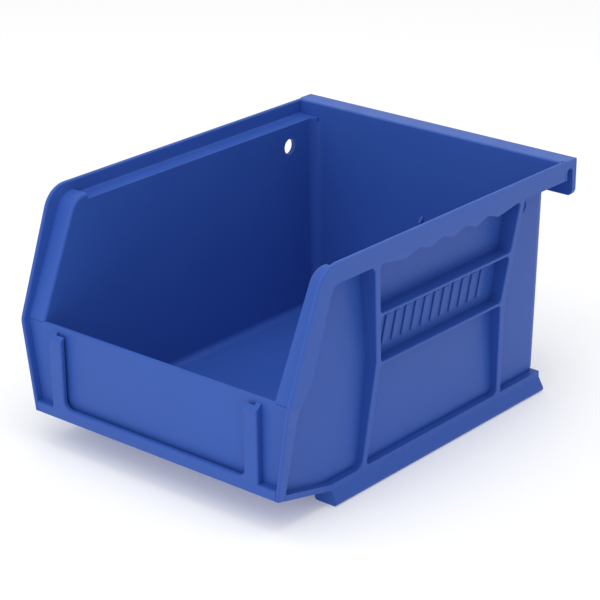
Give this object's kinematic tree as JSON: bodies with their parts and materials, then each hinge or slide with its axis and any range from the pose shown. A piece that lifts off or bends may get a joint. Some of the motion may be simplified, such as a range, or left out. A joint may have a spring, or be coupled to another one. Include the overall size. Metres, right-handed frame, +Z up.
{
  "type": "hanging parts bin",
  "caption": "Small open-front storage bin with stacking ledges, a rear hanging lip, ribbed sides and a front label holder.",
  "frame": {"origin": "under the middle of the bin, on the plane that its foot rails stand on", "axes": "+Z up; -Y towards the low, open front; +Y towards the hanging lip; +X across the bin"},
  "size_m": [0.1048, 0.136, 0.0762],
  "materials": {
    "blue_polypropylene": "semi-matte moulded polypropylene, mid blue"
  },
  "bodies": {
    "root": {"floor_panel": "blue_polypropylene", "front_wall": "blue_polypropylene", "back_wall": "blue_polypropylene", "hanging_lip": "blue_polypropylene", "label_ledge": "blue_polypropylene", "back_centre_rib": "blue_polypropylene", "side_wall_right": "blue_polypropylene", "side_wall_left": "blue_polypropylene", "top_rim_right": "blue_polypropylene", "top_rim_left": "blue_polypropylene", "front_flange_right": "blue_polypropylene", "front_flange_left": "blue_polypropylene", "front_plate_upper_right": "blue_polypropylene", "front_plate_upper_left": "blue_polypropylene", "front_plate_lower_right": "blue_polypropylene", "front_plate_lower_left": "blue_polypropylene", "bottom_rib_right": "blue_polypropylene", "bottom_rib_left": "blue_polypropylene", "foot_rail_right": "blue_polypropylene", "foot_rail_left": "blue_polypropylene", "front_upright_rib_right": "blue_polypropylene", "front_upright_rib_left": "blue_polypropylene", "rear_upright_rib_right": "blue_polypropylene", "rear_upright_rib_left": "blue_polypropylene", "upper_level_rib_right": "blue_polypropylene", "upper_level_rib_left": "blue_polypropylene", "lower_level_rib_right": "blue_polypropylene", "lower_level_rib_left": "blue_polypropylene", "label_rail_right": "blue_polypropylene", "label_rail_left": "blue_polypropylene"}
  },
  "joints": []
}
